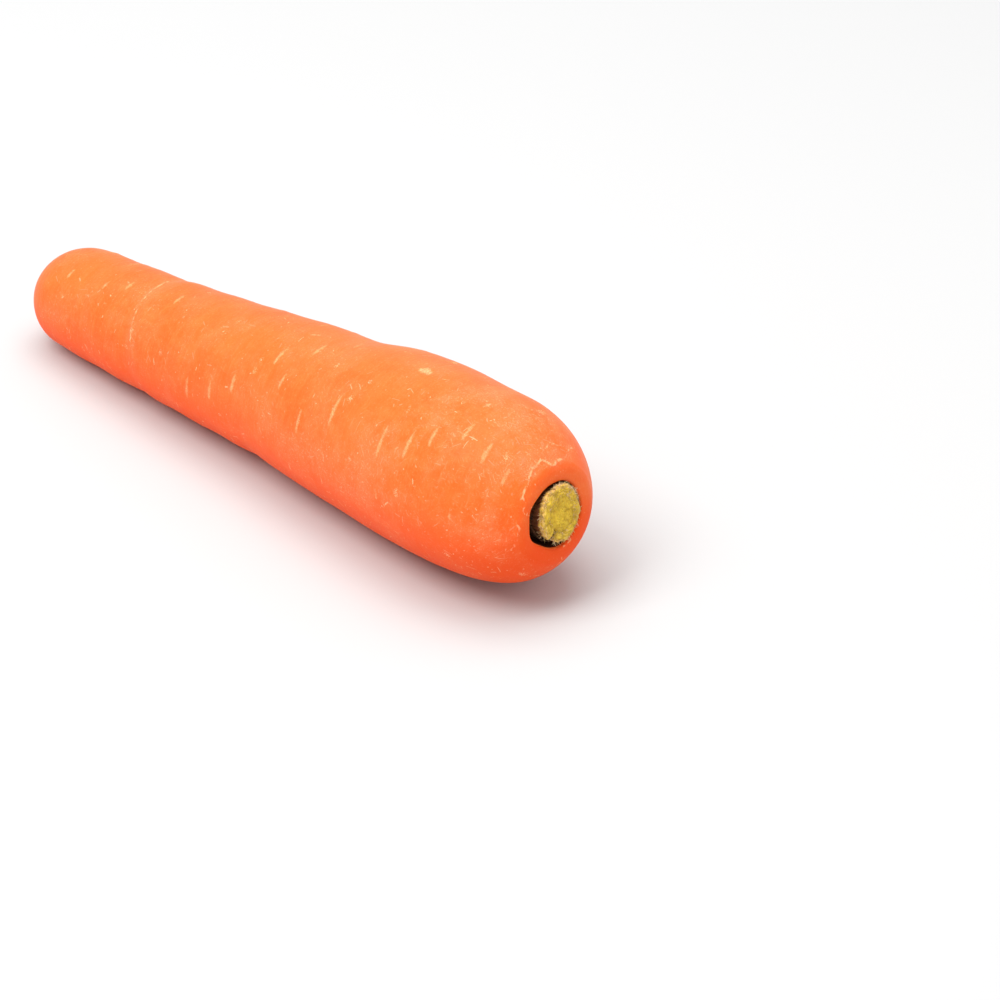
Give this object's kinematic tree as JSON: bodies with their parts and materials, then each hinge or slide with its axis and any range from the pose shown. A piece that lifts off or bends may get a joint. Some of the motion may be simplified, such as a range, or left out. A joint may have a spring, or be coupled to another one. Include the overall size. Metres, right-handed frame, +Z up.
{
  "type": "topped carrot",
  "caption": "Thick blunt-tipped carrot with its leaves cut off, lying on its side, with the stub of cut leaf stalks in the hollow of its crown.",
  "frame": {"origin": "the surface that the carrot lies on, under the middle of its bounding box", "axes": "+X along the root from the tip to the crown, +Z up"},
  "size_m": [0.1946, 0.0464, 0.0473],
  "materials": {
    "carrot_skin": "satin",
    "cut_leaf_stalk": "matte",
    "dry_leaf_base": "matte"
  },
  "bodies": {
    "root": {"taproot": "carrot_skin", "leaf_stalk_stub": "cut_leaf_stalk", "dry_leaf_cup": "dry_leaf_base"}
  },
  "joints": []
}
